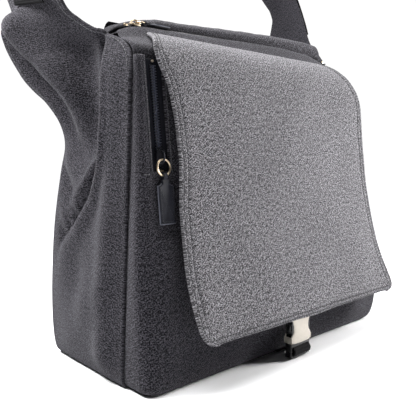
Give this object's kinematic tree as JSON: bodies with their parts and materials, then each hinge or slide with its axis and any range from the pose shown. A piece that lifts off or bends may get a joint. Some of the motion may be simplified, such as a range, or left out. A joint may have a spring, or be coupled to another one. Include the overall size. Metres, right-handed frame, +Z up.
{
  "type": "messenger bag",
  "caption": "Wool messenger bag with a buckled front flap over a zipped pocket, a zip along its top and a wide shoulder strap.",
  "frame": {"origin": "on the floor the bag stands on, under the middle of its base", "axes": "+X to the right as seen from the front, +Y from the flap to the back, +Z up"},
  "size_m": [0.3943, 0.2665, 0.497],
  "materials": {
    "wool_shell": "napped",
    "wool_flap": "napped",
    "lining_cloth": "matte",
    "base_board": "matte",
    "foam": "matte",
    "zip_tape": "matte",
    "zip_coil": "satin",
    "brass": "polished",
    "slider_black": "lacquered",
    "pull_leather": "semi-gloss",
    "plate_metal": "satin",
    "buckle_plastic": "gloss",
    "webbing": "satin",
    "strap_hardware": "lacquered"
  },
  "bodies": {
    "bag": {"back_panel": "wool_shell", "front_panel": "wool_shell", "left_gusset": "wool_shell", "right_gusset": "wool_shell", "bottom_panel": "wool_shell", "base_board": "base_board", "back_foam": "foam", "main_lining": "lining_cloth", "sleeve_divider": "lining_cloth", "inner_slip_pocket": "lining_cloth", "front_lip": "wool_shell", "main_zip_tape_front": "zip_tape", "main_zip_coil_front": "zip_coil", "main_zip_ends": "zip_tape", "main_zip_stops": "brass", "pocket_front_panel": "wool_shell", "pocket_left_gusset": "wool_shell", "pocket_right_gusset": "wool_shell", "pocket_bottom": "wool_shell", "pocket_mouth_binding": "zip_tape", "pocket_zip_tape_left": "zip_tape", "pocket_zip_tape_right": "zip_tape", "pocket_zip_coil_left": "zip_coil", "pocket_zip_coil_right": "zip_coil", "pocket_zip_stops": "brass", "buckle_male_frame": "buckle_plastic", "buckle_webbing_lower": "webbing", "webbing_anchor_patch": "webbing"},
    "mouth": {"back_lip": "wool_shell", "main_zip_tape_back": "zip_tape", "main_zip_coil_back": "zip_coil"},
    "main_slider": {"main_zip_slider": "brass"},
    "main_ring": {"main_pull_ring": "brass"},
    "main_tab": {"main_pull_tab": "pull_leather"},
    "pocket_slider": {"pocket_zip_slider": "slider_black"},
    "pocket_ring": {"pocket_pull_ring": "brass"},
    "pocket_tab": {"pocket_pull_tab": "pull_leather"},
    "flap": {"flap_outer": "wool_flap", "flap_lining": "lining_cloth", "buckle_webbing_upper": "webbing", "buckle_female_core": "buckle_plastic", "buckle_female_cover": "plate_metal"},
    "prong_left": {"buckle_prong_left": "buckle_plastic"},
    "prong_right": {"buckle_prong_right": "buckle_plastic"},
    "strap": {"left_wing": "wool_shell", "right_wing": "wool_shell", "strap_webbing": "webbing", "strap_webbing_loop": "webbing", "strap_webbing_tail": "webbing", "strap_ring": "strap_hardware"},
    "adjuster": {"strap_adjuster": "strap_hardware"}
  },
  "joints": [
    {"name": "flap_hinge", "type": "hinge", "parent": "bag", "child": "flap", "pos_m": [0, -0.026, 0.307], "axis": [-1, 0, 0], "range_deg": [0, 150]},
    {"name": "mouth_hinge", "type": "hinge", "parent": "bag", "child": "mouth", "pos_m": [0, 0.027, 0.316], "axis": [-1, 0, 0], "range_deg": [0, 75]},
    {"name": "strap_root", "type": "hinge", "parent": "bag", "child": "strap", "pos_m": [0, 0.03, 0.24], "axis": [1, 0, 0], "range_deg": [-60, 20]},
    {"name": "adjuster_slide", "type": "slide", "parent": "strap", "child": "adjuster", "axis": [1, 0, 0], "range_m": [-0.045, 0.045]},
    {"name": "main_slider_slide", "type": "slide", "parent": "bag", "child": "main_slider", "axis": [1, 0, 0], "range_m": [0, 0.268]},
    {"name": "main_ring_hinge", "type": "hinge", "parent": "main_slider", "child": "main_ring", "pos_m": [-0.1348, -0.003, 0.3176], "axis": [0, -1, 0], "range_deg": [0, 90]},
    {"name": "main_tab_hinge", "type": "hinge", "parent": "main_ring", "child": "main_tab", "pos_m": [-0.1268, -0.003, 0.3176], "axis": [0, -1, 0], "range_deg": [0, 60]},
    {"name": "pocket_slider_slide", "type": "slide", "parent": "bag", "child": "pocket_slider", "axis": [0, 0.106, 0.9944], "range_m": [0, 0.069]},
    {"name": "pocket_ring_hinge", "type": "hinge", "parent": "pocket_slider", "child": "pocket_ring", "pos_m": [-0.1485, -0.05806, 0.19493], "axis": [-1, 0, 0], "range_deg": [0, 110]},
    {"name": "pocket_tab_hinge", "type": "hinge", "parent": "pocket_ring", "child": "pocket_tab", "pos_m": [-0.1485, -0.0595, 0.18141], "axis": [-1, 0, 0], "range_deg": [0, 60]},
    {"name": "prong_left_squeeze", "type": "hinge", "parent": "bag", "child": "prong_left", "pos_m": [-0.0196, -0.0936, 0.0146], "axis": [0, 1, 0], "range_deg": [0, 5], "stiffness_Nm_per_rad": 0.05},
    {"name": "prong_right_squeeze", "type": "hinge", "parent": "bag", "child": "prong_right", "pos_m": [-0.0004, -0.0936, 0.0146], "axis": [0, -1, 0], "range_deg": [0, 5], "stiffness_Nm_per_rad": 0.05}
  ]
}
